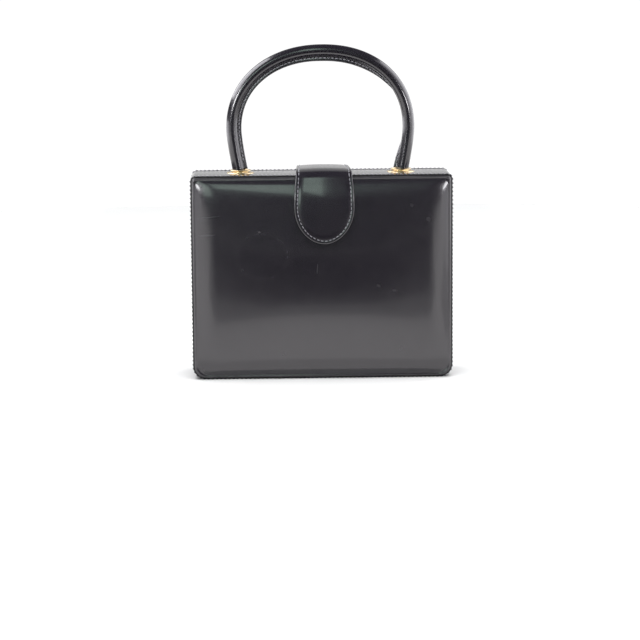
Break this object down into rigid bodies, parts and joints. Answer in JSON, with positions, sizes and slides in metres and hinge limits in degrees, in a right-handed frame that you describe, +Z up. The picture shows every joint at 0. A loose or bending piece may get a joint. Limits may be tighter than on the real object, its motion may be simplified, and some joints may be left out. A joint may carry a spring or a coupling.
{
  "type": "box bag",
  "caption": "Rigid handbag of glossy leather with domed front and back, rolled arch handle in gilt ferrules and a round-ended closure tab.",
  "frame": {"origin": "middle of the base, on the surface that the bag stands on", "axes": "+X along the bag's width to the right as seen from the front, -Y out of the front with the closure tab, +Z up to the handle"},
  "size_m": [0.2406, 0.0873, 0.306],
  "materials": {
    "panel_leather": "glossy black box calf",
    "frame_leather": "glossy black box calf",
    "tab_leather": "glossy black box calf, turned and stitched",
    "handle_leather": "glossy black box calf, rolled",
    "gilt_metal": "polished gilt plating",
    "thread": "waxed black thread"
  },
  "bodies": {
    "root": {"gusset": "frame_leather", "front_rim": "frame_leather", "back_rim": "frame_leather", "front_panel": "panel_leather", "back_panel": "panel_leather", "closure_tab": "tab_leather", "tab_snap": "gilt_metal", "handle": "handle_leather", "ferrule_left": "gilt_metal", "ferrule_right": "gilt_metal", "base_plate_left": "gilt_metal", "base_plate_right": "gilt_metal"}
  },
  "joints": []
}
